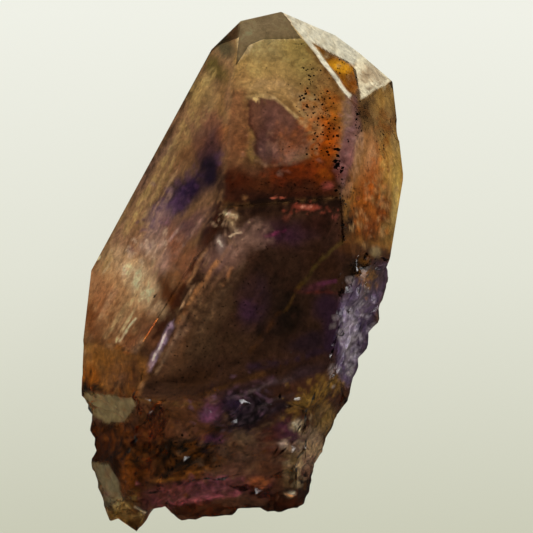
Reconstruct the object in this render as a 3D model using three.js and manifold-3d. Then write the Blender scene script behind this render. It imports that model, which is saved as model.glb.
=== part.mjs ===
// Amethyst point: one quartz crystal, smoky, iron-stained and see-through, snapped off at its base.
// Millimetres, +Z up. The crystal lies on its back: +Y runs to the tip and the broad front looks up.
// It grew as one piece, so it is one closed faceted solid.

import * as THREE from 'three';
import Module from 'manifold-3d';
import { ConvexGeometry } from 'three/addons/geometries/ConvexGeometry.js';
import { ImprovedNoise } from 'three/addons/math/ImprovedNoise.js';
import { mergeVertices } from 'three/addons/utils/BufferGeometryUtils.js';

// Driving dimensions
const crystalLength = 59.5;
const ledgeSteepness = 72;
const breakCoarse = 0.95;
const breakFine = 0.3;
const breakStep = 0.4;
const breakMesh = 1.5;
const breakMeshBack = 2.6;
const faceMesh = 7;
const sliver = 0.004;
const weldGap = 1e-4;

// Corners of the crystal, each [x, y, z]. The rest face is at z = 0.
const tip = [4.25, 29.75, 11.0];
const tipLeft = [-0.35, 28.7, 12.1];
const ledgeLeft = [-2.65, 7.3, 27.0];
const ledgeRight = [11.05, 8.45, 25.2];
const shoulderLeft = [-3.7, 25.4, 9.2];
const cornerLeft = [-17.6, 0, 8.6];
const wingLow = [-18.4, -8.6, 14.3];
const wingInner = [-12.3, -9.4, 25.8];
const valleyTop = [-3.1, 5.7, 27.5];
const ridgeTop = [-2.6, 4.5, 26.25];
const ridgeLow = [-10.8, -10.3, 26.9];
const plateRight = [11.05, 3.5, 24.5];
const lensTop = [11.85, 19.85, 17.25];
const lensMiddle = [13.45, 15.0, 19.0];
const browEdge = [10.6, 27.1, 5.75];
const shoulderTop = [13.45, 25.0, 5.1];
const shoulderRight = [17.15, 21.9, 3.6];
const shoulderFoot = [13.2, 20.1, 14.5];
const flankTop = [11.3, 8.9, 24.5];
const flankLow = [11.55, 3.3, 24.6];
const flankEdge = [18.3, 10.4, 9.0];
const flankUpperEdge = [17.4, 17.4, 6.4];
const rimRight = [16.7, 1.2, 13.4];
const bevelTop = [11.15, 3.05, 24.5];
const bevelMiddle = [6.8, -1.2, 24.95];
const bevelLow = [2.5, -8.6, 25.5];
const breakInnerTop = [11.6, -3.2, 23.4];
const breakInnerLow = [10.6, -8.1, 22.0];
const breakMiddle = [14.2, -8.0, 10.2];
const breakEdgeTop = [16.3, -1.5, 10.5];
const breakEdgeLow = [12.2, -13.5, 10.0];
const bandLow = [-17.9, -14.1, 14.6];
const bandInner = [-12.8, -14.4, 25.0];
const glassLow = [-16.9, -16.9, 11.5];
const baseTopLeft = [-12.4, -14.4, 25.2];
const baseTopRight = [7.0, -15.5, 22.4];
const baseFront = [-2.0, -26.0, 12.5];
const baseEdgeLeft = [-17.6, -19.5, 10.5];
const baseInnerLeft = [-12.5, -18.0, 20.5];
const footLeft = [-17.7, -22.0, 10.0];
const footInner = [-14.2, -26.4, 12.0];
const foot = [-15.7, -28.1, 7.5];
const footRight = [-12.4, -29.8, 7.5];
const baseBottomLeft = [-11.3, -28.2, 7.5];
const baseEdgeRight = [10.4, -17.0, 9.5];
const baseInnerRight = [8.0, -16.5, 19.0];
const baseLowRight = [8.7, -21.8, 8.5];
const baseBottomRight = [6.2, -25.6, 8.0];
const baseRimTop = [-2.0, -24.6, 13.0];
const baseCornerTop = [5.5, -23.5, 13.5];
const baseHeart = [-2, -22, 8];

// Corners of the rest face and places just inside it, where the faces of the back come down
const restTip = [2, 23.6, 0];
const restTipLeft = [-0.6, 22.3, 0];
const restTipRight = [7.5, 23.8, 0];
const restBrow = [10.8, 22.3, 0];
const restShoulder = [13.6, 21.5, 0];
const restRightUpper = [14.6, 16, 0];
const restRight = [13.9, 6, 0];
const restRightMiddle = [12.8, 0, 0];
const restRightLow = [10.4, -5, 0];
const restLeft = [-6.7, 10.4, 0];
const restLeftMiddle = [-13.6, -5.5, 0];
const restLeftLow = [-13.2, -15, 0];
const restBase = [-3, -23.4, 0];
const restBaseRight = [5.5, -18, 0];
const restFoot = [-13, -22.5, 0];
const restFootEnd = [-11, -23.4, 0];

// The middle of the crystal, which every face looks away from.
const heart = new THREE.Vector3(-1, 0, 13);
const reach = 60;

const point = (corner) => new THREE.Vector3(...corner);

// A plane through three corners, facing away from a point inside the crystal.
function face(a, b, c, inside = heart) {
  const plane = new THREE.Plane().setFromCoplanarPoints(point(a), point(b), point(c));
  return plane.distanceToPoint(inside) > 0 ? plane.negate() : plane;
}

// A plane through two corners that falls away steeply towards the side of a third point.
function drop(a, b, towards, steepness) {
  const along = point(b).sub(point(a)).normalize();
  const out = point(towards).sub(point(a));
  out.addScaledVector(along, -out.dot(along)).setZ(0).normalize();
  const tilt = THREE.MathUtils.degToRad(steepness);
  const downhill = out.multiplyScalar(Math.cos(tilt)).setZ(-Math.sin(tilt));
  const normal = new THREE.Vector3().crossVectors(along, downhill).normalize();
  if (normal.z < 0) normal.negate();
  return new THREE.Plane().setFromNormalAndCoplanarPoint(normal, point(a));
}

// The convex body behind a set of planes: its corners are where three planes meet inside the rest.
function behind(planes) {
  const corners = [];
  const slack = 1e-6;
  for (let i = 0; i < planes.length; i++) {
    for (let j = i + 1; j < planes.length; j++) {
      for (let k = j + 1; k < planes.length; k++) {
        const [p, q, r] = [planes[i], planes[j], planes[k]];
        const turn = new THREE.Vector3().crossVectors(q.normal, r.normal);
        const volume = p.normal.dot(turn);
        if (Math.abs(volume) < slack) continue;
        const meet = turn.multiplyScalar(-p.constant);
        meet.addScaledVector(new THREE.Vector3().crossVectors(r.normal, p.normal), -q.constant);
        meet.addScaledVector(new THREE.Vector3().crossVectors(p.normal, q.normal), -r.constant);
        meet.divideScalar(volume);
        const held = planes.every((plane) => plane.distanceToPoint(meet) < slack);
        if (held && !corners.some((corner) => corner.distanceTo(meet) < weldGap)) corners.push(meet);
      }
    }
  }
  return new ConvexGeometry(corners);
}

// Faces of the front: the sloping cap, the long left wing and the broad plate below the ledge
const cap = face(ledgeLeft, ledgeRight, tip);
const wing = face(ledgeLeft, tipLeft, cornerLeft);
const plate = face(ridgeTop, ridgeLow, plateRight);
const strip = face(ridgeTop, ridgeLow, wingInner);
const ledge = drop(ledgeLeft, ledgeRight, [4, 0, 26], ledgeSteepness);
const valley = drop(valleyTop, wingInner, [0, -8, 26], ledgeSteepness);

// Faces of the right shoulder, beside the tip
const brow = face(tip, lensTop, shoulderTop);
const temple = face(shoulderTop, shoulderRight, shoulderFoot);
const lens = face(lensTop, ledgeRight, lensMiddle);
const flank = face(flankTop, flankLow, flankEdge);
const flankUpper = face(lensMiddle, flankUpperEdge, [13.7, 19.2, 15.0]);
const flankInner = drop([11.05, 8.5, 25], [11.55, 3.3, 25], [5, 5, 24], ledgeSteepness);
const rim = drop([11.5, 3.4, 24.6], rimRight, [12, -6, 20], ledgeSteepness);

// Faces of the lower right side, down to the frosted break
const bevelUpper = face(bevelTop, bevelMiddle, breakInnerTop);
const bevelLower = face(bevelMiddle, bevelLow, breakInnerLow);
const frosted = face(breakInnerTop, breakInnerLow, breakEdgeTop);
const frostedLow = face(breakInnerLow, breakEdgeLow, breakMiddle);

// Faces of the lower left side and of the snapped base
const band = face(wingLow, wingInner, bandInner);
const glassPatch = face(bandLow, bandInner, glassLow);
const baseFace = face(baseTopLeft, baseTopRight, baseFront);
const baseLeft = face(baseEdgeLeft, footLeft, baseInnerLeft);
const footPatch = face(footLeft, foot, footInner);
const baseRight = face(baseEdgeRight, baseLowRight, baseInnerRight);
const baseRim = face(baseBottomLeft, baseBottomRight, baseRimTop);
const baseCorner = face(baseLowRight, baseBottomRight, baseCornerTop);
const baseTop = face([-18, -16.8, 11.5], [-17.5, -16.4, 4], [6, -9, 20], point(baseHeart));

// Faces of the back, from the outline in to the rest face
const rest = new THREE.Plane(new THREE.Vector3(0, 0, -1), 0);
const backLeft = face(shoulderLeft, cornerLeft, restLeft);
const backLeftMiddle = face(cornerLeft, wingLow, restLeftMiddle);
const backLeftLow = face(wingLow, footLeft, restLeftLow);
const backTip = face(tip, tipLeft, restTip);
const backTipLeft = face(tipLeft, shoulderLeft, restTipLeft);
const backTipRight = face(tip, browEdge, restTipRight);
const backBrow = face(browEdge, shoulderTop, restBrow);
const backShoulder = face(shoulderTop, shoulderRight, restShoulder);
const backRightUpper = face(shoulderRight, flankEdge, restRightUpper);
const backRight = face(flankEdge, rimRight, restRight);
const backRightMiddle = face(rimRight, breakEdgeTop, restRightMiddle);
const backRightLow = face(breakEdgeTop, breakEdgeLow, restRightLow);
const backBase = face(baseBottomLeft, baseBottomRight, restBase);
const backFoot = face(footLeft, foot, restFoot);
const footFront = face(foot, footRight, [-11.6, -26.8, 13.5]);
const footSide = face(footRight, [-9.6, -26.4, 9], [-9.9, -26.2, 15]);
const backFootEnd = face(foot, footRight, restFootEnd);
const backBaseRight = face(baseLowRight, baseEdgeRight, restBaseRight);

const backEnd = [
  rest, backLeft, backTip, backTipLeft, backTipRight, backBrow, backShoulder, backRightUpper,
];
const backUpper = [...backEnd, backLeftMiddle, backRight];
const backLower = [rest, backLeftLow, backRightLow];

const upperBody = [cap, ledge, wing, brow, temple, lens, flank, flankUpper, ...backUpper];
const rightShoulder = [
  cap, flankInner, rim, brow, temple, lens, flank, flankUpper, ...backUpper,
];
const leftWing = [
  wing, valley, band, glassPatch, cap, brow, temple, flank, baseFace, ...backUpper,
];
const lowerBody = [
  cap, plate, strip, wing, band, glassPatch, bevelUpper, bevelLower, frosted, frostedLow, baseRight,
  brow, temple, flank, baseFace, backBase, backRightMiddle, backRightLow, backLeftLow, ...backEnd,
];
const baseBody = [
  plate, bevelLower, baseFace, baseLeft, footPatch, baseRight, baseRim, baseCorner, backBase,
  backFoot, backBaseRight, baseTop, ...backLower,
];
const footBody = [
  plate, bevelLower, baseFace, baseLeft, footPatch, footFront, footSide, backFoot, backFootEnd,
  baseTop, ...backLower,
];

// A closed, merged mesh as a solid, and back again
const kernel = await Module();
kernel.setup();

function solidOf(geometry) {
  geometry.deleteAttribute('normal');
  geometry.deleteAttribute('uv');
  const merged = mergeVertices(geometry, weldGap);
  const mesh = new kernel.Mesh({
    numProp: 3,
    vertProperties: new Float32Array(merged.attributes.position.array),
    triVerts: new Uint32Array(merged.index.array),
  });
  return new kernel.Manifold(mesh);
}

function bodyOf(...planes) {
  return solidOf(behind(planes.flat()));
}

function geometryOf(solid) {
  const mesh = solid.getMesh();
  const geometry = new THREE.BufferGeometry();
  geometry.setAttribute('position', new THREE.BufferAttribute(mesh.vertProperties, 3));
  geometry.setIndex(new THREE.BufferAttribute(mesh.triVerts, 1));
  return geometry;
}

const bodies = [upperBody, rightShoulder, leftWing, lowerBody, baseBody, footBody];
let crystal = bodies.map((planes) => bodyOf(planes)).reduce((whole, body) => whole.add(body));

// The pit beside the brow, an open triangular hole between the brow and the cap's edge
const pitRim = [[7.7, 26.05], [12.2, 23.8], [12.9, 23.1], [13.2, 21.0], [12.4, 20.4]];
const pitFloor = face([7.7, 26.1, 12.6], [12.3, 23.7, 8.4], [12.4, 20.4, 10.8], point([10, 24, 0]));

function pitBody() {
  const shape = new THREE.Shape(pitRim.map(([x, y]) => new THREE.Vector2(x, y)));
  const prism = new THREE.ExtrudeGeometry(shape, { depth: reach, bevelEnabled: false });
  const block = solidOf(prism);
  const below = new THREE.BoxGeometry(reach, reach, reach).translate(0, 0, -reach / 2);
  const turn = new THREE.Quaternion().setFromUnitVectors(new THREE.Vector3(0, 0, 1), pitFloor.normal);
  below.applyQuaternion(turn).translate(...pitFloor.coplanarPoint(new THREE.Vector3()));
  return block.subtract(solidOf(below));
}
crystal = crystal.subtract(pitBody());

// Chips and shallow hollows, each with its centre and radius
const chips = [
  { at: [13.9, 0.3, 20.0], radius: 2.0 },
  { at: [20.4, 17.2, 8.0], radius: 3.6 },
  { at: [9.5, -23.5, 19.5], radius: 5.5 },
  { at: [-20.3, -11.6, 12.6], radius: 2.4 },
  { at: [1.4, -15.6, 31.6], radius: 8.6 },
  { at: [-7.4, -20.6, 26.0], radius: 6.4 },
];
const chipDetail = 3;
for (const { at, radius } of chips) {
  const ball = new THREE.IcosahedronGeometry(radius, chipDetail).translate(...at);
  crystal = crystal.subtract(solidOf(ball));
}

// The snapped surface begins below a wavy line across the crystal and beyond a slanting line on
// its right side, and comes in softly over a short way
const { smoothstep } = THREE.MathUtils;
const baseLine = -13.5;
const baseLineSlant = -0.06;
const baseLineWave = 0.9;
const baseLineBends = 0.55;
const baseFade = 1.6;
const sideLine = 10.4;
const sideSlant = 0.12;
const sideFade = 1.2;
const sideTop = 2.2;
const sideTopFade = 2.0;
const patchFade = 0.4;
const restFade = 2.5;

// How broken the surface is at a place: 0 on the grown faces, 1 on the snapped ones.
function broken(p) {
  const line = baseLine + baseLineSlant * p.x - baseLineWave * Math.sin(p.x * baseLineBends);
  const base = 1 - smoothstep(p.y, line - baseFade, line);
  const beyond = smoothstep(p.x - sideSlant * p.y, sideLine, sideLine + sideFade);
  const side = beyond * (1 - smoothstep(p.y, sideTop - sideTopFade, sideTop));
  const offPatch = smoothstep(Math.abs(footPatch.distanceToPoint(p)), 0, patchFade);
  return Math.max(base * offPatch, side) * smoothstep(p.z, 0, restFade);
}

// Splits every long edge in two until the mesh is as fine as the place asks.
// Whether an edge is split depends on that edge alone, so neighbours always match.
function refine(geometry, passes) {
  const spots = [];
  const position = geometry.attributes.position;
  for (let i = 0; i < position.count; i++) {
    spots.push(new THREE.Vector3().fromBufferAttribute(position, i));
  }
  let triangles = [];
  const index = geometry.index.array;
  for (let i = 0; i < index.length; i += 3) triangles.push([index[i], index[i + 1], index[i + 2]]);
  for (let pass = 0; pass < passes; pass++) {
    const halves = new Map();
    const halfOf = (a, b) => {
      const key = a < b ? `${a}_${b}` : `${b}_${a}`;
      if (!halves.has(key)) {
        const long = spots[a].distanceTo(spots[b]) > longestEdge(spots[a], spots[b]);
        halves.set(key, long ? spots.push(spots[a].clone().lerp(spots[b], 0.5)) - 1 : -1);
      }
      return halves.get(key);
    };
    const next = [];
    for (const [a, b, c] of triangles) {
      next.push(...split(a, b, c, halfOf(a, b), halfOf(b, c), halfOf(c, a), spots));
    }
    triangles = next;
  }
  const finer = new THREE.BufferGeometry().setFromPoints(spots);
  finer.setIndex(triangles.flat());
  return finer;
}

// The triangles that one triangle becomes when some of its edges have a half-way point.
function split(a, b, c, ab, bc, ca, spots) {
  const count = [ab, bc, ca].filter((half) => half >= 0).length;
  if (count === 0) return [[a, b, c]];
  if (count === 3) return [[a, ab, ca], [ab, b, bc], [ca, bc, c], [ab, bc, ca]];
  if (count === 1) {
    if (ab >= 0) return [[a, ab, c], [ab, b, c]];
    if (bc >= 0) return [[a, b, bc], [a, bc, c]];
    return [[a, b, ca], [b, c, ca]];
  }
  if (ab < 0) return split(b, c, a, bc, ca, ab, spots);
  if (bc < 0) return split(c, a, b, ca, ab, bc, spots);
  const across = spots[a].distanceTo(spots[bc]) < spots[ab].distanceTo(spots[c]);
  return across
    ? [[ab, b, bc], [a, ab, bc], [a, bc, c]]
    : [[ab, b, bc], [ab, bc, c], [a, ab, c]];
}

// The longest edge a place may have: short where the surface is broken, shortest on the front
const frontHeight = 9;
const samples = [0.15, 0.5, 0.85];
const grownBelow = 0.02;

function longestEdge(a, b) {
  const grown = samples.every((share) => broken(a.clone().lerp(b, share)) < grownBelow);
  if (grown) return faceMesh;
  return (a.z + b.z) / 2 < frontHeight ? breakMeshBack : breakMesh;
}

// The snapped surface: coarse and fine swells, and steps that run across the crystal
const noise = new ImprovedNoise();
const coarseSwell = 6.5;
const fineSwell = 3.3;
const stepSpacing = 4.6;
const stepFoot = 0.4;
const stepHead = 0.95;
const stepWay = new THREE.Vector3(0.25, 0.9, 0.3);

function swell(p, width, seed) {
  return noise.noise(p.x / width + seed, p.y / width - seed, p.z / width);
}

function relief(p) {
  const coarse = swell(p, coarseSwell, 3.1);
  const fine = swell(p, fineSwell, 7.3);
  const stair = p.dot(stepWay) / stepSpacing + coarse;
  const step = smoothstep(stair - Math.floor(stair), stepFoot, stepHead) - 0.5;
  return breakCoarse * coarse + breakFine * fine + breakStep * step;
}

function roughen(geometry) {
  geometry.computeVertexNormals();
  const { position, normal } = geometry.attributes;
  const spot = new THREE.Vector3();
  const outward = new THREE.Vector3();
  for (let i = 0; i < position.count; i++) {
    spot.fromBufferAttribute(position, i);
    outward.fromBufferAttribute(normal, i);
    spot.addScaledVector(outward, broken(spot) * relief(spot));
    position.setXYZ(i, spot.x, spot.y, Math.max(spot.z, 0));
  }
  geometry.deleteAttribute('normal');
  return geometry;
}

const refinePasses = 6;
const shaped = roughen(refine(geometryOf(crystal.simplify(sliver)), refinePasses));

// At its real length, with the origin under the middle of its box
shaped.computeBoundingBox();
const drawn = shaped.boundingBox.getSize(new THREE.Vector3());
const centre = shaped.boundingBox.getCenter(new THREE.Vector3());
shaped.translate(-centre.x, -centre.y, -shaped.boundingBox.min.z);
const scale = crystalLength / drawn.y;
shaped.scale(scale, scale, scale);

const amethyst = new THREE.MeshStandardMaterial({ color: '#5b3a33', roughness: 0.12, metalness: 0 });
const crystalMesh = new THREE.Mesh(shaped, amethyst);
crystalMesh.name = 'amethyst_crystal';

const part = new THREE.Group();
part.add(crystalMesh);

export default part;
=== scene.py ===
"""A smoky, iron-stained amethyst point, lying on its back on a pale lit surface.

The crystal is one see-through piece of quartz. Its colour lies in soft zones, as the growing
crystal took them up, and its base is a rough break. Inside it are thin stained veils, the ghost of
a smaller crystal and dark iron specks.
"""

import bpy
import numpy as np
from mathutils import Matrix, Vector
from mathutils.bvhtree import BVHTree


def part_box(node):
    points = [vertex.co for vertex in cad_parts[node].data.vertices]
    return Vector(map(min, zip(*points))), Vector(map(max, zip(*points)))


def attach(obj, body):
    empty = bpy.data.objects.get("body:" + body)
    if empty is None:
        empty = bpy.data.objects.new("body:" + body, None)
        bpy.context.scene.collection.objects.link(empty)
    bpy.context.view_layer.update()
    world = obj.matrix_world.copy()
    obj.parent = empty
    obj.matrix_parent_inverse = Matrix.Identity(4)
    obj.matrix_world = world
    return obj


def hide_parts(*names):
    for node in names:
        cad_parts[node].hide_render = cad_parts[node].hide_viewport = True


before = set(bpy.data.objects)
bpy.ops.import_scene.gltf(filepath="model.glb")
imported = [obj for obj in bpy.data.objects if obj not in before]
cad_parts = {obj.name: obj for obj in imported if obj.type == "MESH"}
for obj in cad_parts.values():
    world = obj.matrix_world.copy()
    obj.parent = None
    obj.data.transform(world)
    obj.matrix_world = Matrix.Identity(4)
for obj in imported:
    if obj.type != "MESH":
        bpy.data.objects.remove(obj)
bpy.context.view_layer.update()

# Sizes, in metres
MM = 0.001
NODE = "amethyst_crystal"
LOW, HIGH = (np.array(corner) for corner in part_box(NODE))
SIZE = HIGH - LOW
QUARTZ_IOR = 1.544
SEED = 7

# Points closer than this are one point. A face is part of the front where its normal leans up more
# than this, and an edge is sharp where its faces meet at more than this angle.
WELD = 1e-3 * MM
FACING_UP = 0.02
SHARP_DEGREES = 22

# The plan grid: a square of this many steps laid over the crystal from above, which the picture
# shows whole. Its middle is this far from the crystal's own.
GRID_STEPS = 533
STEP = 0.11452 * MM
GRID_MIDDLE = np.array([2.73, 0.583]) * MM
PICTURE_SIDE = GRID_STEPS * STEP
CAMERA_HEIGHT = 1.5
SENSOR_WIDTH = 36

# The grid just fills the picture at this share of the crystal's height.
PICTURE_LEVEL = 0.4


def linear(code):
    """An sRGB hex colour as linear red, green, blue and a full alpha."""
    srgb = np.array([int(code[i:i + 2], 16) for i in (1, 3, 5)]) / 255
    rgb = np.where(srgb <= 0.04045, srgb / 12.92, ((srgb + 0.055) / 1.055) ** 2.4)
    return (*rgb.tolist(), 1.0)


def add(tree, kind, settings=None, links=None):
    """Adds one node, sets its properties and input values, and links sockets into its inputs."""
    made = tree.nodes.new(kind)
    for key, value in (settings or {}).items():
        if isinstance(key, str) and hasattr(made, key):
            setattr(made, key, value)
        else:
            made.inputs[key].default_value = value
    for key, socket in (links or {}).items():
        tree.links.new(socket, made.inputs[key])
    return made


def new_material(name):
    """An empty node material and its tree."""
    material = bpy.data.materials.new(name)
    material.use_nodes = True
    material.node_tree.nodes.clear()
    return material, material.node_tree


# Stains and colour zones, with painted glints, highlights and shade among them, from the broad ones
# to the fine ones, on the plan grid (steps right and down from the upper left). A blob is an
# ellipse: middle, half sizes, turn in degrees, softness, colour, strength. A stroke is a line of
# points: width, softness, colour, strength. A patch is a many-sided area: softness, colour, strength.
BLOB, STROKE, PATCH = "blob", "stroke", "patch"
GROUND = "#4a3023"
PAINT_GAIN = 1.2
CAP_PAINT = [
    (PATCH, [(236, 10), (285, 5), (352, 98), (340, 200), (220, 208), (228, 130)], 4, "#8a6d42", 1),
    (BLOB, (265, 38), (34, 24), 0, 0.5, "#9c8a60", 1),
    (BLOB, (303, 58), (28, 16), 48, 0.5, "#937c48", 1),
    (BLOB, (232, 72), (13, 34), 4, 0.6, "#b08c54", 1),
    (BLOB, (258, 74), (34, 13), 4, 0.6, "#af8e58", 1),
    (BLOB, (330, 84), (14, 22), -35, 0.6, "#7d5c36", 0.9),
    (BLOB, (238, 140), (13, 60), 3, 0.4, "#84583c", 0.95),
    (BLOB, (236, 182), (14, 16), 0, 0.7, "#57301f", 0.9),
    (BLOB, (303, 118), (13, 26), -10, 0.6, "#7c5a36", 0.8),
    (BLOB, (330, 112), (13, 17), 0, 0.6, "#94591f", 0.9),
    (BLOB, (322, 148), (17, 26), 6, 0.5, "#ac4c08", 1),
    (BLOB, (314, 128), (6, 16), 8, 0.7, "#8f7454", 0.7),
    (PATCH, [(222, 172), (300, 160), (344, 160), (340, 199), (221, 207)], 6, "#3c1407", 0.95),
    (BLOB, (303, 172), (26, 9), 0, 0.7, "#7a2f0c", 0.9),
    (BLOB, (322, 172), (12, 13), 0, 0.7, "#8c3d10", 0.9),
    (BLOB, (255, 168), (18, 6), 0, 0.8, "#5c3826", 0.8),
    (BLOB, (327, 186), (6, 4), 0, 0.5, "#9c4a44", 0.9),
    (PATCH, [(249, 98), (273, 98), (309, 131), (306, 152), (288, 164), (264, 166), (256, 155),
             (256, 140), (248, 124)], 1.6, "#5f3a30", 0.95),
    (BLOB, (277, 119), (17, 13), 30, 0.6, "#6e483e", 0.9),
    (BLOB, (266, 148), (9, 13), 0, 0.6, "#64474a", 0.9),
    (BLOB, (292, 145), (11, 12), 0, 0.7, "#85523a", 0.7),
    (BLOB, (268, 88), (26, 6), 6, 0.7, "#c5a26a", 0.8),
    (STROKE, [(247, 97), (251, 88), (264, 83), (284, 86), (300, 104)], 2.4, 0.9, "#b4966a", 0.5),
    (STROKE, [(249, 99), (261, 96), (273, 98)], 2.2, 0.7, "#d0b078", 0.8),
    (STROKE, [(273, 98), (292, 114), (309, 131)], 1.4, 0.6, "#dcbe88", 0.85),
    (STROKE, [(283, 92), (296, 108), (311, 124)], 1.6, 0.7, "#c09c66", 0.8),
    (STROKE, [(249, 101), (249, 124), (257, 140), (256, 158)], 2.0, 0.9, "#40231a", 0.8),
    (STROKE, [(256, 161), (266, 167), (290, 164)], 1.6, 0.6, "#8f6a54", 0.7),
    (STROKE, [(246, 100), (245, 150), (250, 170)], 2.2, 0.8, "#4c2a1c", 0.6),
    (STROKE, [(241, 22), (229, 120), (222, 200)], 1.8, 0.8, "#4a2f1e", 0.55),
    (STROKE, [(236, 45), (226, 118)], 2.6, 0.8, "#c49d63", 0.5),
    (STROKE, [(308, 48), (346, 97)], 3.2, 0.8, "#5a3a1a", 0.8),
    (BLOB, (255, 197), (32, 6), -3, 0.7, "#22110d", 0.8),
    (BLOB, (309, 196), (26, 5), -3, 0.7, "#3a180e", 0.8),
    (BLOB, (290, 156), (12, 7), 0, 0.7, "#9a7464", 0.6),
    (BLOB, (276, 58), (30, 12), 8, 0.9, "#8e7248", 0.4),
    (BLOB, (268, 128), (8, 14), 0, 0.7, "#4e3030", 0.6),
    # Painted light: a pale patch at the tip, lighter than the crystal's own colour there, to make up
    # for light lost in the tip
    (PATCH, [(239, 20), (282, 8), (303, 38.5), (265, 39), (256, 42.5), (237.5, 63), (237, 38)], 1.2,
     "#dcc49e", 0.97),
]
SHOULDER_PAINT = [
    (PATCH, [(345, 98), (356, 96), (361, 130), (358, 165), (350, 185), (340, 198), (341, 150)], 3,
     "#76534f", 1),
    (BLOB, (347, 160), (6, 18), 6, 0.6, "#88585f", 0.9),
    (BLOB, (347, 114), (5, 15), 4, 0.6, "#866a50", 0.9),
    (PATCH, [(358, 96), (392, 78), (400, 100), (394, 118), (406, 168), (372, 150), (362, 130)], 4,
     "#7e6038", 1),
    (PATCH, [(341, 200), (364, 130), (404, 162), (408, 182), (402, 238), (394, 250), (344, 242)], 4,
     "#9a6a34", 1),
    (BLOB, (385, 100), (10, 13), -12, 0.6, "#9c7840", 0.9),
    (BLOB, (394, 190), (11, 44), 3, 0.5, "#b8974c", 1),
    (BLOB, (386, 160), (7, 24), 6, 0.6, "#c09c58", 0.9),
    (BLOB, (368, 160), (9, 22), 6, 0.7, "#b07c54", 0.9),
    (BLOB, (365, 196), (8, 25), 14, 0.8, "#a8520f", 0.9),
    (BLOB, (377, 214), (9, 22), 24, 0.6, "#87461a", 1),
    (BLOB, (352, 222), (9, 16), 0, 0.6, "#2f2017", 0.95),
    (BLOB, (366, 236), (22, 6), -6, 0.7, "#552e12", 0.9),
    (BLOB, (396, 216), (5, 26), 3, 0.6, "#c4a868", 0.9),
    (BLOB, (387, 232), (7, 9), 0, 0.7, "#97743c", 0.8),
    (BLOB, (366, 108), (6, 13), 8, 0.6, "#4a341e", 0.8),
    (STROKE, [(361, 134), (353, 176), (344, 197)], 3.4, 0.8, "#b58a6a", 0.8),
    (STROKE, [(392, 122), (384, 150), (387, 170)], 2.5, 0.8, "#7c4a1a", 0.7),
    (PATCH, [(311, 43), (352, 64), (359, 86), (355, 95), (348, 92)], 1.5, "#8e5412", 1),
    (BLOB, (341, 67), (12, 5), 14, 0.5, "#d8941e", 1),
    (BLOB, (326, 54), (10, 4), 30, 0.5, "#5c3710", 0.9),
    # The pale brow and temple: partly the etched faces' own paleness, partly painted reflection of
    # light on these faces
    (PATCH, [(281, 8), (348, 99), (351, 96), (311, 41), (352, 65), (362, 52), (330, 20)], 1.2,
     "#c6bea6", 1),
    (PATCH, [(353, 65), (362, 50), (396, 78), (361, 99), (358, 84)], 1.2, "#d2c6a6", 1),
    (BLOB, (362, 78), (7, 12), 10, 0.8, "#b49a74", 0.5),
    (BLOB, (352, 82), (5, 10), 0, 0.5, "#70390a", 0.9),
]
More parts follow.
